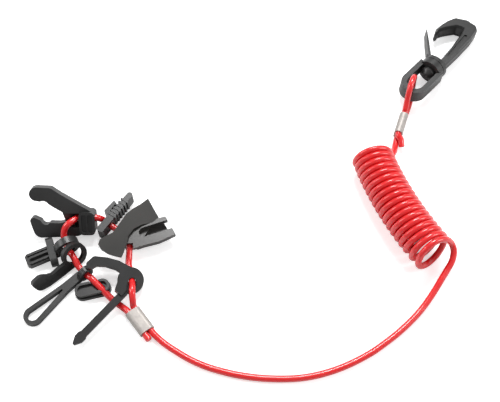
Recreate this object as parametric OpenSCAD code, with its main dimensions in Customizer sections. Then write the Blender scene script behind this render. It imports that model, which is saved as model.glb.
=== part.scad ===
// Safety lanyard of an engine kill switch: a red coiled cord between a swivel snap hook and
// a bunch of plastic switch keys. It lies on a flat surface, z = 0. Lengths are in millimetres.

/* [Cord] */
// Diameter of the cord
cord_d = 3.5; // [3:0.1:4]
// Clearance between the cord and a bore that it runs through
cord_gap = 0.35; // [0.3:0.05:0.5]

/* [Coil] */
// Outer diameter of the coiled stretch
coil_od = 23.5; // [21:0.5:24]
// Length of the coiled stretch along its axis
coil_len = 71; // [62:1:76]
// Angle that the coil's axis bends through
coil_bow = 21; // [10:1:24]

/* [Ferrules] */
// Wall thickness of a crimped ferrule
ferrule_wall = 0.7; // [0.5:0.1:1]
// Length of a ferrule
ferrule_len = 14; // [10:1:16]

/* [Snap hook] */
// Diameter of the collar and of the flange above it
collar_d = 15.2; // [14:0.2:16.4]
// Height of the collar along the swivel axis
collar_h = 4.2; // [3.4:0.2:5]
// Thickness of the flange that carries the gate
flange_h = 2.4; // [2:0.2:3.2]
// Thickness of the hook's body
hook_t = 9; // [7:0.5:11]
// Length of the hook from its flange to its end
hook_len = 45; // [43:0.5:48]
// Diameter of the swivel's shank
shank_d = 6; // [5:0.5:7]
// Diameter of the swivel's head
head_d = 8.6; // [8:0.2:9]
// Thickness of the eye frame
eye_t = 8; // [6:0.5:10]
// Width of the eye frame's band
eye_band = 3.2; // [2.6:0.2:3.4]
// Width of the eye frame
eye_w = 16.4; // [15:0.2:17]
// Length of the eye frame
eye_len = 28; // [26:0.5:30]
// Thickness of the gate leaf at its root
leaf_t = 1.6; // [1.2:0.1:2]
// Length of the gate leaf
leaf_len = 22; // [18:0.5:24]
// Angle of the gate leaf from the swivel axis as it rests
leaf_angle = 40; // [38:1:46]

/* [Fork key] */
// Thickness of the fork key's plate
fork_t = 4.4; // [3.6:0.2:5]
// Thickness of the block that its bore runs through
fork_block_t = 8; // [7.4:0.2:9]
// Lean of the plate from the ground as it rests
fork_lean = 50; // [45:1:55]

/* [Eyes of the keys] */
// Wall thickness of the plug key's eye
eye_wall = 2.4; // [2:0.1:2.8]
// Radius of the plug key's eye
plug_eye_r = 6.6; // [6:0.1:7]
// Radius of the paddle key's eye
paddle_eye_r = 7; // [6:0.1:7.4]
// Wall thickness of the paddle key's eye
paddle_wall = 2.2; // [2:0.1:2.4]
// Radius of the strap key's collar
strap_eye_r = 4.1; // [4:0.1:4.6]

/* [Plug key] */
// Length of the plug key's blade past its flange
blade_len = 12; // [10:0.5:14]
// Width of the blade
blade_w = 7.8; // [7:0.2:9]
// Width of the flange
flange_w = 17; // [14:0.5:17.5]

/* [Paddle key] */
// Length of the paddle key from its eye to its tip
paddle_len = 24.4; // [23.4:0.2:26]
// Thickness of the paddle
paddle_t = 2.6; // [2:0.2:3]

/* [Strap key] */
// Length of the strap key from its collar to its end
strap_len = 39; // [36:1:40]
// Thickness of the strap
strap_t = 2; // [1.8:0.1:2.4]
// Height of the strap
strap_h = 3.2; // [2.6:0.2:3.6]

/* [Pin key] */
// Length of the pin key's stem from the middle of its ring
stem_len = 43; // [39:1:44]
// Width of the stem
stem_w = 3.8; // [3.4:0.2:4.4]
// Thickness of the ring and the arm
bow_t = 4; // [3.6:0.2:4.2]

/* [Channel key] */
// Thickness of the channel key's plates
channel_t = 3; // [2.4:0.2:3.2]
// Width of the slot in the fork plate
slot_w = 5.6; // [4.4:0.2:6]

/* [Ribbed key] */
// Length of the ribbed leg past the cord
rib_leg_len = 21; // [18:0.5:22]
// Width of the ribbed leg
rib_leg_w = 4.2; // [3.4:0.2:4.6]

/* [Cap key] */
// Length of the oval cap
cap_len = 19; // [17:0.5:20]
// Width of the cap
cap_w = 8.4; // [8:0.2:9]
// Height of the cap
cap_h = 5.6; // [5.2:0.2:6.4]

/* [Hidden] */
$fn = 48;
eps = 0.01;
seam = 0.02;
black = "#232323";
red = "#d42020";
metal = "#c9c6c0";

cord_r = cord_d / 2;
bore_r = cord_r + cord_gap;
cord_sides = 8;
fat_sides = 24;

// Ferrule of the keys' loop: middle and direction, pointing away from the keys
key_ferrule_pos = [-68.6, -93];
key_ferrule_yaw = -52.5;
// Ferrule of the hook's loop: middle and direction, pointing towards the hook
hook_ferrule_pos = [76.2, 28.5];
hook_ferrule_yaw = 71;
hook_ferrule_z = ferrule_wall + cord_d + 0.1;
ferrule_slot = cord_d + 0.1;

// Coil: middle of its axis, and the direction of the axis there
coil_pos = [68.8, -31.4];
coil_yaw = -64.5;
coil_bend_r = coil_len / (coil_bow * PI / 180);
coil_z = coil_od / 2 + 0.1;

// Swivel axis: a point in the middle of the collar's face, and its direction
hook_pos = [96.1, 65.2];
hook_yaw = 48.4;
hook_pitch = asin((collar_d - hook_t) / 2 / hook_len);
collar_r = collar_d / 2;
collar_x = -0.4;
face_gap = 0.4;
flange_x = collar_x + collar_h + face_gap;
head_x = collar_x - face_gap / 2;
hook_z = collar_r * cos(hook_pitch) + (flange_x + flange_h) * sin(hook_pitch) + 0.05;
swivel_gap = 0.06;
hook_end = flange_x + hook_len;
// Stops of the hook's outline: place and radius, from the flange round to the lip of the nose
hook_stops = [[flange_x + 4.5, -2.9, 2.4], [24, -2.4, 3], [37, -1.2, 3.7], [hook_end - 4.6, 0.5, 4.3],
    [hook_end - 4.2, 5, 4.1], [hook_end - 6.4, 10, 3.7], [hook_end - 10.6, 12.2, 3.1],
    [hook_end - 14.8, 13.8, 2.2], [hook_end - 19.4, 14.9, 1.4], [hook_end - 22.2, 14.1, 1.1]];
hook_edge = 1.8;
groove_stops = [[15, -2.6, 0.8], [36, -1.1, 1.1]];
groove_depth = 0.8;
// Gate: its pivot, the bead at its root and its width
gate_pivot = [flange_x + flange_h + 1.5, 6.1, 0];
gate_bead_r = 1;
leaf_w = 7;
knuckle_stops = [[flange_x + 1.9, 4.8, 1.8], [gate_pivot.x, gate_pivot.y, 2.1]];

// Places of the keys: the point where the cord runs through each one, and its direction
fork_pos = [-101, -36.3, 10.2];
fork_upper = [[-24.7, 14.1, 3.9], [-18.4, 13.5, 4.2], [-14.4, 10.6, 4.2], [-8, 6.6, 4.2], [1, 1.3, 4]];
fork_lower = [[-27.3, -1.2, 2], [-25.6, -3.4, 3.2], [-23.4, -6.4, 4.4], [-13, -6.4, 4], [-5, -5.1, 4.8],
    [-5.4, 1, 5.2], [-8, 6.6, 4.2]];
// Scallops along the inner edges of the fork's tines
fork_grips = [[-21.6, 7.2, 3.1], [-16, 2.5, 2.9], [-20.9, -0.9, 2.4]];
fork_ramp = 31;
plug_pos = [-109.9, -51.5, plug_eye_r];
plug_yaw = 206;
paddle_yaw = 221;
paddle_roll = 65;
paddle_pos = [-105.5, -56.9, paddle_eye_r * sin(paddle_roll) + paddle_t / 2 * cos(paddle_roll) + 0.05];
paddle_stops = [[4, 3.6, 2.8], [10.4, 3.9, 2.9], [15.4, 4.4, 2.6], [19, 3.6, 3.4], [22, 2.3, 4.2],
    [paddle_len, 0.8, 2.4]];
strap_pos = [-99.2, -66.4, strap_eye_r];
strap_yaw = 225;
cap_pos = [-94.4, -75.2, 0];
cap_yaw = 14;
cap_cord_pos = [-90.35, -74.7, 4.35];
cap_cord_yaw = -43.5;
cap_cord_pitch = 10.6;
pin_pos = [-74.4, -70.9, 2.9];
arm_stops = [[-1.5, 4.4, 2.7], [-8, 7.7, 2.4], [-14, 9, 2.3], [-19.6, 9, 2.5], [-22, 6.8, 2.2]];
pin_lean = [13, 10, 0];
pin_ring = [-0.6, 0.2, 0];
pin_ring_r = 6.9;
// Slanted bore of the pin key's ring: its middle, yaw and pitch
pin_bore = [-73.7, -72.4, 5.6];
pin_bore_yaw = -79.4;
pin_bore_pitch = -28.4;
stem_root = [-3.2, -6.5, 2.6];
stem_yaw = 230.6;
stem_t = 3.3;
channel_pos = [-76, -50, 0];
channel_bore_yaw = 126.9;
channel_top = [[-2.4, -0.6], [1.6, -0.6], [1.9, -3.8], [3.6, -3.2], [7.4, -1.8], [15.4, 0.5], [24, 5],
    [20.8, 11], [18, 15.8], [14, 14.6], [11.2, 12], [5, 10.5], [1.3, 8.1], [-1.2, 4]];
channel_lip = [[5, 1], [10, 2.4], [16, 4.2], [21, 7.4], [17, 14], [11.2, 12], [5, 10.5]];
channel_spine = [[-3.4, -0.6], [1.6, -0.6], [2.6, 0], [4.6, 0.6], [6, 3], [9, 9.6],
    [5, 10.5], [0.8, 8.1], [-2.2, 4]];
channel_bore = [-0.9, 0, 4.4];
channel_wing = [[-4.3, -8.4], [-3.5, -5.9], [-2.5, -1.6], [-1.6, 4], [0.8, 7.8], [5, 10.6], [10.6, 12.4],
    [13.9, 15.6], [7.3, 25.8], [3.6, 22.2], [-0.7, 18.9], [-3.9, 15.7], [-6.8, 10.4], [-10.3, 4.4],
    [-14.1, 1.9], [-16.6, 0], [-17.2, -2.4], [-15.2, -5.4], [-11.6, -7.2], [-7.4, -8.1]];
rib_pos = [-89, -37.45, 5.45];
rib_yaw = 56.5;
rib_pitch = 12.6;

// Route of the cord from its cut end, round the keys and back to the ferrule's outer face
key_loop_route = [
    [-63.3, -102.9, 2.5], [-65.7, -99.7, 2.5], [-74.3, -88.5, 2.5],
    [-78, -85, 1.85], [-82, -82, 1.8], [-84.8, -79.8, 2.6],
    [-95.2, -70.1, 5.6], [-97.4, -68.2, 4.3], [-102.6, -63, 4.3],
    [-104.5, -60.1, 5.5], [-106.6, -56.6, 6], [-108.6, -54.2, 5.6], [-111.2, -49, 5.2],
    [-112, -46.2, 6.8], [-111.5, -43.3, 9.6], [-109.5, -41, 11.5], [-107, -38.5, 11.3],
    [-105.2, -36.5, 10.4], [-103.8, -36.3, 10.2], [-95, -36.3, 10.2], [-93.4, -35.9, 8.6],
    [-91.8, -35.6, 6.2], [-86.2, -39.3, 4.7], [-84.4, -40.5, 4.4], [-82.6, -42.6, 4.4],
    [-77, -50.2, 4.4], [-76.8, -53, 3.6], [-76.9, -57, 2.2], [-76.8, -60.2, 1.9],
    [-75.8, -64, 1.9], [-74.8, -66.9, 2.6], [-73.7, -72.4, 5.6], [-73.1, -75.9, 7.5],
    [-72.9, -79.2, 7.7], [-72.6, -82.6, 5.7], [-71.5, -86.3, 2.5], [-62.9, -97.5, 2.5]];
// Route from the ferrule of the keys to the coil
run_route = [
    [-62.9, -97.5, 2.5], [-60.6, -100.1, 2.2], [-56, -104.2, 1.8], [-50.1, -108.3, 1.8],
    [-42.1, -113.1, 1.8], [-34.3, -116.6, 1.8], [-26.8, -119, 1.8], [-17, -121.3, 1.8],
    [-5, -122.8, 1.8], [8, -123, 1.8], [18, -121.9, 1.8], [28, -119.4, 1.8],
    [38.2, -115.4, 1.8], [48.5, -110, 1.8], [56.4, -104.6, 1.8], [64.6, -98.2, 1.8],
    [73.2, -90.2, 2], [79.2, -83.4, 2.6], [84.2, -76.8, 4], [88.4, -70.4, 6], [91.3, -65, 8.6],
    [92, -61, 11], [90.4, -57.2, 13.4]];
// Route from the ferrule of the hook to the coil, and the loop round the eye
lead_route = [
    [73.9, 21.9, 2.55], [72.6, 17.6, 2.4], [71.4, 13, 3.4], [70.2, 8.6, 6.4], [68.2, 3.8, 10.8]];
hook_loop_route = [
    [72.4, 17.4, 6.05], [73.9, 21.9, 6.05], [78.5, 35.1, 6.05], [79.3, 38, 7.8],
    [80, 41.2, 11], [80.8, 44.6, 15.4], [82, 48.4, 18], [83.6, 52.4, 18],
    [85, 55.8, 15], [85.4, 56.8, 11], [84.8, 55.2, 6.6], [83.4, 51.4, 3.6], [81.8, 46.8, 2.3],
    [80, 40.8, 2.1], [78.5, 35.1, 2.55], [73.9, 21.9, 2.55]];

function unit(v) = v / norm(v);
function flat_across(v) = unit(cross(abs(v.z) > 0.98 * norm(v) ? [0, 1, 0] : [0, 0, 1], v));

// Direction of a path at point i
function heading(p, i) = unit(p[min(i + 1, len(p) - 1)] - p[max(i - 1, 0)]);

// Ring of a tube round point c, across direction dir
function ring(c, dir, r, sides) =
    let (side = flat_across(dir), rise = cross(dir, side))
    [for (k = [0 : sides - 1]) let (a = 360 * (k + 0.5) / sides)
        c + r * (cos(a) * side + sin(a) * rise)];

// Tube swept along a path
module tube(path, r, sides) {
    n = len(path);
    points = [for (i = [0 : n - 1]) each ring(path[i], heading(path, i), r, sides)];
    walls = [for (i = [0 : n - 2], k = [0 : sides - 1]) let (m = (k + 1) % sides)
        [i * sides + k, i * sides + m, (i + 1) * sides + m, (i + 1) * sides + k]];
    start = [for (k = [sides - 1 : -1 : 0]) k];
    end = [for (k = [0 : sides - 1]) (n - 1) * sides + k];
    polyhedron(points, concat([start], walls, [end]), convexity = 10);
}

// Places its children on a yaw and an optional lean
module at(pos, yaw = 0, lean = [0, 0, 0]) {
    translate(pos) rotate(lean) rotate([0, 0, yaw]) children();
}

// Round bars whose axis lies along y, or along x
module y_cylinder(r, length) {
    rotate([90, 0, 0]) cylinder(r = r, h = length, center = true);
}

module x_cylinder(r, length) {
    rotate([0, 90, 0]) cylinder(r = r, h = length, center = true);
}

// Flat outline between two rounded stops, each given as its place and its radius
module taper(a, b) {
    start = [a.x, a.y];
    end = [b.x, b.y];
    run = atan2(end.y - start.y, end.x - start.x);
    open = acos((a.z - b.z) / norm(end - start));
    left = [cos(run + open), sin(run + open)];
    right = [cos(run - open), sin(run - open)];
    translate(start) circle(r = a.z);
    translate(end) circle(r = b.z);
    near = a.z - seam;
    far = b.z - seam;
    polygon([start + near * left, start + near * right, end + far * right, end + far * left]);
}

// Chain of tapers through a list of stops
module limb(stops) {
    for (i = [0 : len(stops) - 2]) taper(stops[i], stops[i + 1]);
}

// Plate cut to a limb, from height low to height high
module limb_plate(stops, low, high) {
    translate([0, 0, low]) linear_extrude(high - low) limb(stops);
}

// Bar along a limb, with bevelled long edges
module limb_bar(stops, half, edge) {
    for (s = stops) translate([s.x, s.y]) {
        cylinder(r = s.z, h = 2 * (half - edge), center = true);
        for (side = [0, 1]) mirror([0, 0, side]) translate([0, 0, half - edge])
            cylinder(r1 = s.z, r2 = s.z - edge / 2, h = edge);
    }
    for (i = [0 : len(stops) - 2]) bar_web(stops[i], stops[i + 1], half, edge);
}

// Straight stretch of a bevelled bar between two of its stops
module bar_web(a, b, half, edge) {
    start = [a.x, a.y];
    end = [b.x, b.y];
    run = atan2(end.y - start.y, end.x - start.x);
    open = acos((a.z - b.z) / norm(end - start));
    left = [cos(run + open), sin(run + open)];
    right = [cos(run - open), sin(run - open)];
    levels = [[-half, edge / 2], [edge - half, 0], [half - edge, 0], [half, edge / 2]];
    points = [for (level = levels) let (near = a.z - seam - level.y, far = b.z - seam - level.y)
        for (q = [start + near * left, start + near * right, end + far * right, end + far * left])
            [q.x, q.y, level.x]];
    walls = [for (k = [0 : 2], m = [0 : 3]) let (n = (m + 1) % 4)
        [4 * k + m, 4 * (k + 1) + m, 4 * (k + 1) + n, 4 * k + n]];
    polyhedron(points, concat([[0, 1, 2, 3]], walls, [[15, 14, 13, 12]]), convexity = 4);
}

// Rectangle with rounded corners
module rounded_rect(low, high, r) {
    translate([low.x + r, low.y]) square([high.x - low.x - 2 * r, high.y - low.y]);
    translate([low.x, low.y + r]) square([high.x - low.x, high.y - low.y - 2 * r]);
    for (x = [low.x + r, high.x - r], y = [low.y + r, high.y - r]) translate([x, y]) circle(r = r);
}

module cord_key_loop() {
    color(red) tube(key_loop_route, cord_r, cord_sides);
}

module cord_run() {
    color(red) tube(run_route, cord_r, cord_sides);
}

module cord_lead() {
    color(red) tube(lead_route, cord_r, cord_sides);
}

module cord_hook_loop() {
    color(red) tube(hook_loop_route, cord_r, cord_sides);
}

// Fat tube of the coil's outer size, bent to a gentle arc
module cord_coil() {
    color(red)
        translate([coil_pos.x, coil_pos.y, coil_z])
        rotate([0, 0, coil_yaw])
        translate([0, coil_bend_r, 0])
        rotate([0, 0, -90 - coil_bow / 2])
        rotate_extrude(angle = coil_bow, $fn = 240)
        translate([coil_bend_r, 0])
        circle(r = coil_od / 2, $fn = fat_sides);
}

// Flat sleeve round two strands side by side, its long way along x
module ferrule() {
    outer_r = ferrule_slot / 2 + ferrule_wall;
    color(metal)
        difference() {
            union() {
                cube([ferrule_len, cord_d, 2 * outer_r], center = true);
                for (side = [-1, 1])
                    translate([0, side * cord_r, 0]) x_cylinder(outer_r, ferrule_len);
            }
            for (side = [-1, 1])
                translate([0, side * cord_r, 0]) x_cylinder(ferrule_slot / 2, ferrule_len + 1);
            cube([ferrule_len + 1, cord_d, ferrule_slot], center = true);
        }
}

module key_ferrule() {
    at([key_ferrule_pos.x, key_ferrule_pos.y, ferrule_slot / 2 + ferrule_wall], key_ferrule_yaw)
        ferrule();
}

module hook_ferrule() {
    at([hook_ferrule_pos.x, hook_ferrule_pos.y, hook_ferrule_z], hook_ferrule_yaw)
        rotate([90, 0, 0]) ferrule();
}

// Frame of the swivel: x runs along the axis towards the hook
module swivel_frame() {
    translate([hook_pos.x, hook_pos.y, hook_z])
        rotate([0, 0, hook_yaw]) rotate([0, hook_pitch, 0]) children();
}

// Collar with the oval eye frame behind it
module swivel_eye() {
    outer = eye_w / 2;
    inner = outer - eye_band;
    rear = collar_x + collar_h - eye_len + outer;
    color(black) swivel_frame()
        difference() {
            union() {
                translate([collar_x + collar_h / 2, 0, 0]) x_cylinder(collar_r, collar_h);
                translate([0, 0, -eye_t / 2]) linear_extrude(eye_t) {
                    translate([rear, 0]) circle(r = outer);
                    translate([rear, -outer]) square([collar_x + collar_h / 2 - rear, 2 * outer]);
                }
            }
            translate([0, 0, -eye_t]) linear_extrude(2 * eye_t) {
                translate([rear, 0]) circle(r = inner);
                translate([rear, -inner]) square([collar_x - rear, 2 * inner]);
            }
            translate([collar_x, 0, 0]) x_cylinder(shank_d / 2 + swivel_gap, 4 * collar_h);
        }
}

// Hook body with the flange, the shank and the knuckle of the gate
module snap_hook() {
    color(black) swivel_frame()
        difference() {
            union() {
                translate([flange_x + flange_h / 2, 0, 0]) x_cylinder(collar_r, flange_h);
                translate([(head_x + flange_x + 1) / 2, 0, 0])
                    x_cylinder(shank_d / 2, flange_x + 1 - head_x);
                limb_bar(hook_stops, hook_t / 2, hook_edge);
                limb_plate(knuckle_stops, -leaf_w / 2, leaf_w / 2);
            }
            translate(gate_pivot) cylinder(r = gate_bead_r + swivel_gap, h = 2 * leaf_w, center = true);
            translate(gate_pivot) translate([0, 0, -leaf_w]) linear_extrude(2 * leaf_w)
                polygon([[0, 0], for (a = [-22, 35, 88]) 6 * [cos(a), sin(a)]]);
            for (side = [-1, 1]) translate([0, 0, side * hook_t / 2])
                linear_extrude(2 * groove_depth, center = true) limb(groove_stops);
        }
}

// Domed head on the end of the shank
module swivel_head() {
    color(black) swivel_frame() {
        translate([head_x, 0, 0]) rotate([0, -90, 0]) cylinder(r = head_d / 2, h = 1.8);
        translate([head_x - 1.7, 0, 0]) rotate([0, -90, 0]) cylinder(r1 = head_d / 2, r2 = 2, h = 2.2);
    }
}

// Springy leaf with a bead at its root
module gate_leaf() {
    color(black) swivel_frame() translate(gate_pivot) rotate([0, 0, leaf_angle])
        linear_extrude(leaf_w, center = true) {
            circle(r = gate_bead_r);
            polygon([[0, -leaf_t / 2], [leaf_len * 0.6, -leaf_t / 2 + 0.2], [leaf_len, -0.2],
                [leaf_len, 0.2], [leaf_len * 0.6, leaf_t / 2 - 0.1], [0, leaf_t / 2]]);
        }
}

// Fork with scalloped tines, and a rimmed block that the cord runs through
module fork_key() {
    block_low = [-2.8, -8.7];
    block_high = [5.7, 4.3];
    rim = 1.3;
    recess = 0.8;
    color(black) at(fork_pos, 0, [fork_lean, 0, 0])
        difference() {
            union() {
                translate([0, 0, -fork_t / 2]) linear_extrude(fork_t) difference() {
                    union() {
                        limb(fork_upper);
                        limb(fork_lower);
                    }
                    for (g = fork_grips) translate([g.x, g.y]) circle(r = g.z);
                }
                translate([0, 0, -fork_block_t / 2]) linear_extrude(fork_block_t)
                    rounded_rect(block_low, block_high, 2.4);
            }
            translate([2, 0, 0]) x_cylinder(bore_r, 12);
            intersection() {
                translate([-3, -4.8, -fork_t / 2 - 0.3]) rotate([0, fork_ramp, 0]) translate([-14, 0, 0])
                    cube([20, 8, 12]);
                translate([-14, -8, -8]) cube([11.1, 16, 16]);
            }
            for (x = [block_low.x + rim, block_low.x + rim + 3.2])
                translate([0, 0, fork_block_t / 2 - recess]) linear_extrude(2 * recess)
                    rounded_rect([x, block_low.y + rim], [x + 2.6, block_high.y - rim], 1.2);
        }
}

// Eye, cross flange and ribbed blade
module plug_key() {
    ring_w = 3.8;
    blade_x = 9.4;
    blade_y = -1.5;
    blade_z = -2.8;
    color(black) at(plug_pos, plug_yaw)
        difference() {
            union() {
                y_cylinder(plug_eye_r, ring_w);
                translate([3, -ring_w / 2, -5]) cube([blade_x - 3, ring_w, 5]);
                translate([blade_x - 1, blade_y, blade_z]) rotate([0, 0, -7])
                    rotate([0, 90, 0]) linear_extrude(3.6, center = true)
                        rounded_rect([-3.4, -flange_w / 2], [3.4, flange_w / 2], 2.8);
                translate([blade_x, blade_y, blade_z]) {
                    translate([0, 0, -1.4]) linear_extrude(2.8)
                        polygon([[0, -blade_w / 2], [blade_len, -blade_w / 2],
                            [blade_len + 1.2, -blade_w / 2 + 1.4], [blade_len + 1.2, blade_w / 2 - 1.4],
                            [blade_len, blade_w / 2], [0, blade_w / 2]]);
                    for (y = [-2.6, 0, 2.6]) translate([0, y - 0.6, 0])
                        cube([blade_len - 1 + 0.2 * abs(y), 1.2, y == 0 ? 3.4 : 2.4]);
                }
            }
            y_cylinder(plug_eye_r - eye_wall, ring_w + 1);
        }
}

// Flat key with an eye at one end and a spatula at the other, rolled up on its long edge
module paddle_key() {
    color(black) at(paddle_pos, paddle_yaw) rotate([-paddle_roll, 0, 0])
        difference() {
            union() {
                cylinder(r = paddle_eye_r, h = paddle_t, center = true);
                limb_plate(paddle_stops, -paddle_t / 2, paddle_t / 2);
            }
            cylinder(r = paddle_eye_r - paddle_wall, h = 2 * paddle_t, center = true);
        }
}

// Strap bent to a long loop, with a collar on the cord
module strap_key() {
    collar_w = 3.4;
    color(black) at(strap_pos, strap_yaw)
        difference() {
            union() {
                y_cylinder(strap_eye_r, collar_w);
                translate([0, 0, 0.2 - strap_eye_r]) linear_extrude(strap_h)
                    difference() {
                        limb([[3, -1.5, 2.4], [13, -1.4, 2.6], [strap_len - 5, -0.8, 5]]);
                        limb([[14.6, -1.4, 0.5], [strap_len - 5, -0.8, 5 - strap_t]]);
                    }
            }
            y_cylinder(bore_r, 3 * collar_w);
        }
}

// Grooved oval cap that clips on the cord
module cap_key() {
    half = (cap_len - cap_w) / 2;
    color(black)
        difference() {
            at(cap_pos, cap_yaw)
                difference() {
                    union() {
                        limb_plate([[-half, 0, cap_w / 2], [half, 0, cap_w / 2]], 0, 2.4);
                        limb_plate([[-half, 0, cap_w / 2 - 1], [half, 0, cap_w / 2 - 1]], 0, cap_h);
                        limb_plate([[-half, 0, cap_w / 2 - 0.4], [half, 0, cap_w / 2 - 0.4]],
                            3.8, cap_h);
                    }
                    limb_plate([[-half, 0, cap_w / 2 - 1.8], [half, 0, cap_w / 2 - 1.8]],
                        cap_h - 1.6, cap_h + 1);
                }
            at(cap_cord_pos, cap_cord_yaw) rotate([0, cap_cord_pitch, 0]) x_cylinder(bore_r, 2 * cap_len);
        }
}

// Long pin with a slanted bore for the cord through its ring, and a hooked arm beside it
module pin_key() {
    blade = stem_len - norm([stem_root.x, stem_root.y]);
    barb = 5;
    color(black)
        difference() {
            at(pin_pos, 0, pin_lean) {
                translate(pin_ring) cylinder(r = pin_ring_r, h = bow_t);
                limb_plate(arm_stops, 0, bow_t);
                translate([0, 0, 1]) linear_extrude(stem_root.z + stem_t)
                    polygon([[-7.9, -4], [-6.9, 0], [-2.6, -1], [-2.4, -5.6], [-4.4, -9], [-8.4, -6]]);
                translate(stem_root) rotate([0, 0, stem_yaw]) linear_extrude(stem_t) {
                    translate([0, -stem_w / 2]) square([blade - barb, stem_w]);
                    polygon([[blade - barb, -stem_w / 2 - 0.6], [blade - barb + 2.4, -stem_w / 2 - 0.6],
                        [blade + 1, -0.6], [blade + 1, 0.6], [blade - barb + 2.4, stem_w / 2 + 0.6],
                        [blade - barb, stem_w / 2 + 0.6], [blade - barb - 2.4, stem_w / 2 - 0.4],
                        [blade - barb - 2.4, 0.4 - stem_w / 2]]);
                }
            }
            at(pin_bore, pin_bore_yaw) rotate([0, pin_bore_pitch, 0]) x_cylinder(bore_r + 0.2, 26);
        }
}

// Fork plate over a solid lip, with a wing that rises beside them
module channel_key() {
    color(black) translate(channel_pos)
        difference() {
            union() {
                translate([0, 0, 5]) linear_extrude(channel_t) polygon(channel_top);
                translate([0, 0, 0.2]) linear_extrude(channel_t - 0.2) polygon(channel_lip);
                translate([0, 0, 0.2]) linear_extrude(7.8) polygon(channel_spine);
                translate([-4.4, -9.6, 6]) rotate([0, 0, 56]) rotate([20, 0, 0]) rotate([0, 0, -56])
                    translate([4.4, 9.6, 0]) linear_extrude(2) polygon(channel_wing);
            }
            at([7, 6.2, 5 - eps], 20) linear_extrude(9) {
                circle(r = slot_w / 2);
                translate([0, -slot_w / 2]) square([20, slot_w]);
            }
            at(channel_bore, channel_bore_yaw) x_cylinder(bore_r, 40);
        }
}

// Clip on edge: a long ribbed leg and a short leg behind it
module ribbed_key() {
    low = -3.8;
    high = 3.8;
    color(black) at(rib_pos, rib_yaw)
        difference() {
            union() {
                limb_plate([[-5.8, 0, 2.1], [rib_leg_len - 1.6, 0, 1.6]], low, high);
                limb_plate([[3.4, 0.8, 1.6], [4.6, 4.1, 1.4], [11, 4.2, 0.9]], low + 1, high - 0.4);
                for (x = [3.4 : 2.2 : 16]) translate([x, -rib_leg_w / 2 - 0.3, low + 0.3])
                    cube([1, rib_leg_w + 0.6, high - low]);
            }
            rotate([rib_pitch, 0, 0]) y_cylinder(bore_r, 40);
        }
}

cord_key_loop();
cord_run();
cord_coil();
cord_lead();
cord_hook_loop();
key_ferrule();
hook_ferrule();
swivel_eye();
snap_hook();
swivel_head();
gate_leaf();
fork_key();
plug_key();
paddle_key();
strap_key();
cap_key();
pin_key();
channel_key();
ribbed_key();
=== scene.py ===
"""Looks for the kill switch lanyard: coiled red cord, snap hook, ferrules and keys."""
import math

import bpy
import bmesh
from mathutils import Matrix, Vector


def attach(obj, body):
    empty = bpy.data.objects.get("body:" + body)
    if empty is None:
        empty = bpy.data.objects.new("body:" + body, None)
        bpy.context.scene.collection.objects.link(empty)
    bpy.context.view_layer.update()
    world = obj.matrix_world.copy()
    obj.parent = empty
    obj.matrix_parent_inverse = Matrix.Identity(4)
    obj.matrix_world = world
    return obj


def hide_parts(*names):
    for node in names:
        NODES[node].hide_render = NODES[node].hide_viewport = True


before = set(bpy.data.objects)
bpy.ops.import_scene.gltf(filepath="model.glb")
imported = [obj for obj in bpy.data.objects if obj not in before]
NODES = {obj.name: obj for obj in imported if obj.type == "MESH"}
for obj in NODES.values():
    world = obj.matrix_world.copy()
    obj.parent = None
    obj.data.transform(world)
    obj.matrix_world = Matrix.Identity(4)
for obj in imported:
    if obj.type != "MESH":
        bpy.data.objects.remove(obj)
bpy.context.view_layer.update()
MM = 0.001
scene = bpy.context.scene


# Camera
def make_camera():
    """The photograph's view: 60 mm lens, looking down 60 degrees along +Y."""
    cam = bpy.data.cameras.new("camera")
    cam.lens = 60
    cam.sensor_fit = "HORIZONTAL"
    cam.sensor_width = 36
    cam.clip_start = 0.01
    obj = bpy.data.objects.new("camera", cam)
    obj.location = (-0.012, -0.2535, 0.4044)
    obj.rotation_euler = (math.radians(30), 0, 0)
    scene.collection.objects.link(obj)
    scene.camera = obj
    return obj


camera = make_camera()

# Cords
CORD_D = 3.5
COIL_OD = 23.5
COIL_LEN = 71
COIL_BOW = 21
COIL_POS = (68.8, -31.4)
COIL_YAW = -64.5
COIL_Z = COIL_OD / 2 + 0.1
# Angles round the coil's axis, from the top, at which the cord joins and leaves it
COIL_START = 140
COIL_END = 56
COIL_TURNS = 18
COIL_PITCH = 3.74
# Where the cord joins the first turn, in turns before the coil's end face
COIL_LEAD_IN = 0.7
# How far the bottoms of the last turns stand off the others, and the degrees over which that grows
COIL_OPEN = 5
COIL_OPEN_DEG = 860

KEY_LOOP = [
    (-63.3, -102.9, 2.5), (-65.7, -99.7, 2.5), (-74.3, -88.5, 2.5),
    (-78, -85, 1.85), (-82, -82, 1.8), (-84.8, -79.8, 2.6),
    (-95.2, -70.1, 5.6), (-97.4, -68.2, 4.3), (-102.6, -63, 4.3),
    (-104.5, -60.1, 5.5), (-106.6, -56.6, 6), (-108.6, -54.2, 5.6), (-111.2, -49, 5.2),
    (-112, -46.2, 6.8), (-111.5, -43.3, 9.6), (-109.5, -41, 11.5), (-107, -38.5, 11.3),
    (-105.2, -36.5, 10.4), (-103.8, -36.3, 10.2), (-95, -36.3, 10.2), (-93.4, -35.9, 8.6),
    (-91.8, -35.6, 6.2), (-86.2, -39.3, 4.7), (-84.4, -40.5, 4.4), (-82.6, -42.6, 4.4),
    (-77, -50.2, 4.4), (-76.8, -53, 3.6), (-76.9, -57, 2.2), (-76.8, -60.2, 1.9),
    (-75.8, -64, 1.9), (-74.8, -66.9, 2.6), (-73.7, -72.4, 5.6), (-73.1, -75.9, 7.5),
    (-72.9, -79.2, 7.7), (-72.6, -82.6, 5.7), (-71.5, -86.3, 2.5), (-62.9, -97.5, 2.5)]
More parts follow.
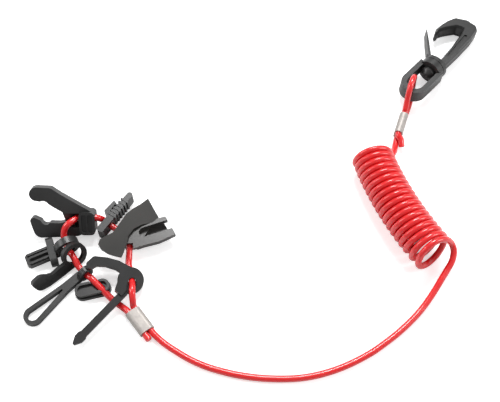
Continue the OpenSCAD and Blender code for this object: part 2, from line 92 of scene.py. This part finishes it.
RUN = [
    (-62.9, -97.5, 2.5), (-60.6, -100.1, 2.2), (-56, -104.2, 1.8), (-50.1, -108.3, 1.8),
    (-42.1, -113.1, 1.8), (-34.3, -116.6, 1.8), (-26.8, -119, 1.8), (-17, -121.3, 1.8),
    (-5, -122.8, 1.8), (8, -123, 1.8), (18, -121.9, 1.8), (28, -119.4, 1.8),
    (38.2, -115.4, 1.8), (48.5, -110, 1.8), (56.4, -104.6, 1.8), (64.6, -98.2, 1.8),
    (73.2, -90.2, 2), (79.2, -83.4, 2.6), (84.2, -76.8, 4), (88.6, -70.3, 5.8),
    (91.8, -65.6, 6.9), (94.1, -62.1, 8.1), (95.3, -58.7, 9.5), (95.3, -55.7, 11.4),
    (93.7, -53.6, 14.1)]
LEAD = [
    (73.9, 21.9, 2.55), (72.6, 17.6, 2.4), (71.4, 13, 3), (70.5, 10, 4.1), (68.7, 7.3, 4.8),
    (66.2, 5.5, 4.9)]
HOOK_LOOP = [
    (75.6, 14.4, 3), (75.2, 18.2, 5), (73.9, 21.9, 6.05), (78.5, 35.1, 6.05), (79.3, 38, 7.8),
    (80, 41.2, 11), (80.8, 44.6, 15.4), (82, 48.4, 18), (83.6, 52.4, 18),
    (85, 55.8, 15), (85.4, 56.8, 11), (85.2, 55, 6.6), (84.6, 51, 3.6), (83.3, 46.2, 2.3),
    (81.2, 40.4, 2.1), (78.9, 35.3, 2.55), (73.9, 21.9, 2.55)]


def spline(points, cuts):
    """Smooth curve through the points, as a list of Vectors."""
    p = [Vector(q) for q in points]
    out = []
    for i in range(len(p) - 1):
        a, b, c, d = p[max(i - 1, 0)], p[i], p[i + 1], p[min(i + 2, len(p) - 1)]
        for k in range(cuts):
            t = k / cuts
            out.append(0.5 * (2 * b + (c - a) * t + (2 * a - 5 * b + 4 * c - d) * t * t
                              + (3 * b - a - 3 * c + d) * t ** 3))
    out.append(p[-1])
    return out


def coil_point(t):
    """Point of the coil's axis and its direction, t from 0 to 1 along it."""
    radius = COIL_LEN / math.radians(COIL_BOW)
    turn = math.radians(COIL_BOW * (t - 0.5))
    x, y = radius * math.sin(turn), radius * (1 - math.cos(turn))
    yaw = math.radians(COIL_YAW)
    pos = Vector((COIL_POS[0] + x * math.cos(yaw) - y * math.sin(yaw),
                  COIL_POS[1] + x * math.sin(yaw) + y * math.cos(yaw), COIL_Z))
    along = yaw + turn
    return pos, Vector((math.cos(along), math.sin(along), 0))


def helix(step=12):
    """The coil's turns, from its hook end to its run end."""
    r = (COIL_OD - CORD_D) / 2
    last = COIL_END + 360 * COIL_TURNS
    out = []
    a = COIL_START
    while a <= last + 0.01:
        turns = (a - COIL_START) / 360 - COIL_LEAD_IN
        opened = min(max((a - last + COIL_OPEN_DEG) / COIL_OPEN_DEG, 0), 1)
        low = (1 - math.cos(math.radians(a))) / 2
        along_mm = CORD_D / 2 + COIL_PITCH * turns + COIL_OPEN * opened * low
        pos, along = coil_point(along_mm / COIL_LEN)
        right = Vector((-along.y, along.x, 0))
        out.append(pos + r * (math.sin(math.radians(a)) * right + Vector((0, 0, math.cos(math.radians(a))))))
        a += step
    return out


def tube(name, points, r, sides=14):
    """Round cord swept along points given in millimetres, with softly domed ends."""
    pts = [Vector(p) for p in points]
    bm = bmesh.new()
    rings = []
    normal = None
    for i, p in enumerate(pts):
        along = (pts[min(i + 1, len(pts) - 1)] - pts[max(i - 1, 0)]).normalized()
        normal = Vector((0, 0, 1)) if normal is None else normal
        normal = (normal - along * normal.dot(along)).normalized()
        other = along.cross(normal)
        shrink = [(r, 0)]
        if i == 0:
            shrink = [(r * 0.8, -0.1 * r), (r, 0.15 * r)]
        if i == len(pts) - 1:
            shrink = [(r, -0.15 * r), (r * 0.8, 0.1 * r)]
        for radius, shift in shrink:
            ring = []
            for k in range(sides):
                a = 2 * math.pi * k / sides
                q = p + along * shift + radius * (math.cos(a) * normal + math.sin(a) * other)
                ring.append(bm.verts.new(q * MM))
            rings.append(ring)
    for a, b in zip(rings, rings[1:]):
        for k in range(sides):
            m = (k + 1) % sides
            bm.faces.new((a[k], a[m], b[m], b[k]))
    bm.faces.new(list(reversed(rings[0])))
    bm.faces.new(rings[-1])
    bmesh.ops.recalc_face_normals(bm, faces=bm.faces)
    mesh = bpy.data.meshes.new(name)
    bm.to_mesh(mesh)
    bm.free()
    for face in mesh.polygons:
        face.use_smooth = len(face.vertices) == 4
    obj = bpy.data.objects.new(name, mesh)
    scene.collection.objects.link(obj)
    return obj


def length(points):
    return sum((Vector(b) - Vector(a)).length for a, b in zip(points, points[1:]))


lead_line = spline(LEAD + helix()[:2], 6)[:-6]
run_line = spline(helix()[-2:] + list(reversed(RUN)), 5)[5:]
main_line = lead_line + helix()[1:-1] + run_line
key_line = spline(KEY_LOOP, 5)
hook_line = spline(HOOK_LOOP, 5)
main_cord = tube("main_cord", main_line, CORD_D / 2)
key_cord = tube("key_loop_cord", key_line, CORD_D / 2)
hook_cord = tube("hook_loop_cord", hook_line, CORD_D / 2)
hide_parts("cord_lead", "cord_coil", "cord_run")
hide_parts("cord_key_loop")
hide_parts("cord_hook_loop")
for obj, points, lay, ferrules in ((main_cord, main_line, "coiled", []),
                                   (key_cord, key_line, "loose", [NODES["key_ferrule"]]),
                                   (hook_cord, hook_line, "loose", [NODES["hook_ferrule"]])):
    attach(obj, "lanyard")
print("cord lengths mm", [round(length(q)) for q in (main_line, key_line, hook_line)])


# Materials
def new_material(name):
    mat = bpy.data.materials.new(name)
    mat.use_nodes = True
    tree = mat.node_tree
    return mat, tree, tree.nodes["Principled BSDF"]


def noise(tree, scale, detail=3.0):
    coord = tree.nodes.new("ShaderNodeTexCoord")
    tex = tree.nodes.new("ShaderNodeTexNoise")
    tex.inputs["Scale"].default_value = scale
    tex.inputs["Detail"].default_value = detail
    tree.links.new(coord.outputs["Object"], tex.inputs["Vector"])
    return tex


def bump(tree, shader, source, strength, distance):
    node = tree.nodes.new("ShaderNodeBump")
    node.inputs["Strength"].default_value = strength
    node.inputs["Distance"].default_value = distance
    tree.links.new(source, node.inputs["Height"])
    tree.links.new(node.outputs["Normal"], shader.inputs["Normal"])
    return node


def ramp(tree, source, stops):
    node = tree.nodes.new("ShaderNodeValToRGB")
    while len(node.color_ramp.elements) < len(stops):
        node.color_ramp.elements.new(0.5)
    for element, (pos, colour) in zip(node.color_ramp.elements, stops):
        element.position = pos
        element.color = (*colour, 1)
    tree.links.new(source, node.inputs["Fac"])
    return node


def cord_material():
    mat, tree, shader = new_material("red_cord")
    grain = noise(tree, 300)
    colour = ramp(tree, grain.outputs["Fac"], [(0.3, (0.75, 0.011, 0.015)), (0.7, (0.81, 0.020, 0.022))])
    tree.links.new(colour.outputs["Color"], shader.inputs["Base Color"])
    shader.inputs["Roughness"].default_value = 0.3
    shader.inputs["IOR"].default_value = 1.5
    shader.inputs["Subsurface Weight"].default_value = 0.25
    shader.inputs["Subsurface Radius"].default_value = (1, 0.1, 0.08)
    shader.inputs["Subsurface Scale"].default_value = 0.0015
    shader.inputs["Coat Weight"].default_value = 0.7
    shader.inputs["Coat Roughness"].default_value = 0.2
    bump(tree, shader, grain.outputs["Fac"], 0.03, 0.0002)
    return mat


def plastic_material(name, dark, light, roughness, specular):
    """Moulded black plastic: a fine grain and a faint clouding of its grey."""
    mat, tree, shader = new_material(name)
    grain = noise(tree, 900, 4)
    cloud = noise(tree, 60, 2)
    colour = ramp(tree, cloud.outputs["Fac"], [(0.3, dark), (0.7, light)])
    tree.links.new(colour.outputs["Color"], shader.inputs["Base Color"])
    shader.inputs["Roughness"].default_value = roughness
    shader.inputs["Specular IOR Level"].default_value = specular
    bump(tree, shader, grain.outputs["Fac"], 0.25, 0.0001)
    return mat


def ferrule_material():
    mat, tree, shader = new_material("ferrule_metal")
    grain = noise(tree, 500, 4)
    colour = ramp(tree, grain.outputs["Fac"], [(0.3, (0.40, 0.37, 0.35)), (0.7, (0.50, 0.47, 0.44))])
    tree.links.new(colour.outputs["Color"], shader.inputs["Base Color"])
    shader.inputs["Metallic"].default_value = 0.6
    shader.inputs["Roughness"].default_value = 0.55
    bump(tree, shader, grain.outputs["Fac"], 0.3, 0.0002)
    return mat


CORD = cord_material()
PLASTIC = plastic_material("black_plastic", (0.018, 0.018, 0.018), (0.032, 0.032, 0.032), 0.38, 0.6)
# Lighter, warmer copy of the black plastic: its paler, warm base colour is painted sheen, standing in for
# the light the channel key's plate catches
PAINTED_SHEEN_PLASTIC = plastic_material("painted_sheen_plastic", (0.024, 0.023, 0.021), (0.038, 0.036, 0.033), 0.36, 0.7)
FERRULE = ferrule_material()
# Rounding of the moulded edges that turn by more than this many degrees
EDGE_ROUND = 0.35
EDGE_ANGLE = 40
for obj in (main_cord, key_cord, hook_cord):
    obj.data.materials.append(CORD)
for name, obj in NODES.items():
    mat = CORD if name.startswith("cord_") else FERRULE if name.endswith("ferrule") else PLASTIC
    # The channel key gets the lighter copy, whose base colour paints in its plate's sheen
    if name == "channel_key":
        mat = PAINTED_SHEEN_PLASTIC
    for material_slot in obj.material_slots:
        material_slot.material = mat
    if mat in (PLASTIC, PAINTED_SHEEN_PLASTIC):
        bevel = obj.modifiers.new("edges", "BEVEL")
        bevel.width = EDGE_ROUND * MM
        bevel.segments = 2
        bevel.limit_method = "ANGLE"
        bevel.angle_limit = math.radians(EDGE_ANGLE)
        bevel.harden_normals = False


# Floor and light
def floor():
    mesh = bpy.data.meshes.new("floor")
    half = 1.5
    corners = [(-half, -half, 0), (half, -half, 0), (half, half, 0), (-half, half, 0)]
    mesh.from_pydata(corners, [], [(0, 1, 2, 3)])
    obj = bpy.data.objects.new("floor", mesh)
    scene.collection.objects.link(obj)
    mat, tree, shader = new_material("floor")
    shader.inputs["Base Color"].default_value = (0.9, 0.9, 0.9, 1)
    shader.inputs["Roughness"].default_value = 0.9
    shader.inputs["Specular IOR Level"].default_value = 0.0
    path = tree.nodes.new("ShaderNodeLightPath")
    glow = tree.nodes.new("ShaderNodeEmission")
    glow.inputs["Color"].default_value = (1, 1, 1, 1)
    glow.inputs["Strength"].default_value = 0.55
    add = tree.nodes.new("ShaderNodeAddShader")
    mix = tree.nodes.new("ShaderNodeMixShader")
    tree.links.new(shader.outputs["BSDF"], add.inputs[0])
    tree.links.new(glow.outputs["Emission"], add.inputs[1])
    tree.links.new(path.outputs["Is Camera Ray"], mix.inputs["Fac"])
    tree.links.new(shader.outputs["BSDF"], mix.inputs[1])
    tree.links.new(add.outputs["Shader"], mix.inputs[2])
    tree.links.new(mix.outputs["Shader"], tree.nodes["Material Output"].inputs["Surface"])
    mesh.materials.append(mat)
    return obj


def area_light(name, place, target, size, power, colour=(1, 1, 1)):
    data = bpy.data.lights.new(name, "AREA")
    data.shape = "RECTANGLE"
    data.size, data.size_y = size
    data.energy = power
    data.color = colour
    obj = bpy.data.objects.new(name, data)
    obj.location = place
    obj.rotation_euler = (Vector(target) - Vector(place)).to_track_quat("-Z", "Y").to_euler()
    scene.collection.objects.link(obj)
    return obj


def make_world():
    """Even pale surroundings that the camera sees as white."""
    world = bpy.data.worlds.new("world")
    scene.world = world
    world.use_nodes = True
    tree = world.node_tree
    light = tree.nodes["Background"]
    light.inputs["Color"].default_value = (1, 1, 1, 1)
    light.inputs["Strength"].default_value = 0.36
    backdrop = tree.nodes.new("ShaderNodeBackground")
    backdrop.inputs["Color"].default_value = (1, 1, 1, 1)
    backdrop.inputs["Strength"].default_value = 1
    path = tree.nodes.new("ShaderNodeLightPath")
    mix = tree.nodes.new("ShaderNodeMixShader")
    tree.links.new(path.outputs["Is Camera Ray"], mix.inputs["Fac"])
    tree.links.new(light.outputs["Background"], mix.inputs[1])
    tree.links.new(backdrop.outputs["Background"], mix.inputs[2])
    tree.links.new(mix.outputs["Shader"], tree.nodes["World Output"].inputs["Surface"])


floor()
area_light("back_box", (0.05, 0.62, 1.0), (0, 0, 0), (0.5, 0.25), 11)
area_light("left_box", (-0.9, 0.15, 0.6), (0, 0, 0), (0.3, 0.6), 3.5)
area_light("right_box", (0.9, -0.1, 0.6), (0, 0, 0), (0.25, 0.6), 4)
make_world()
scene.view_settings.view_transform = "Standard"
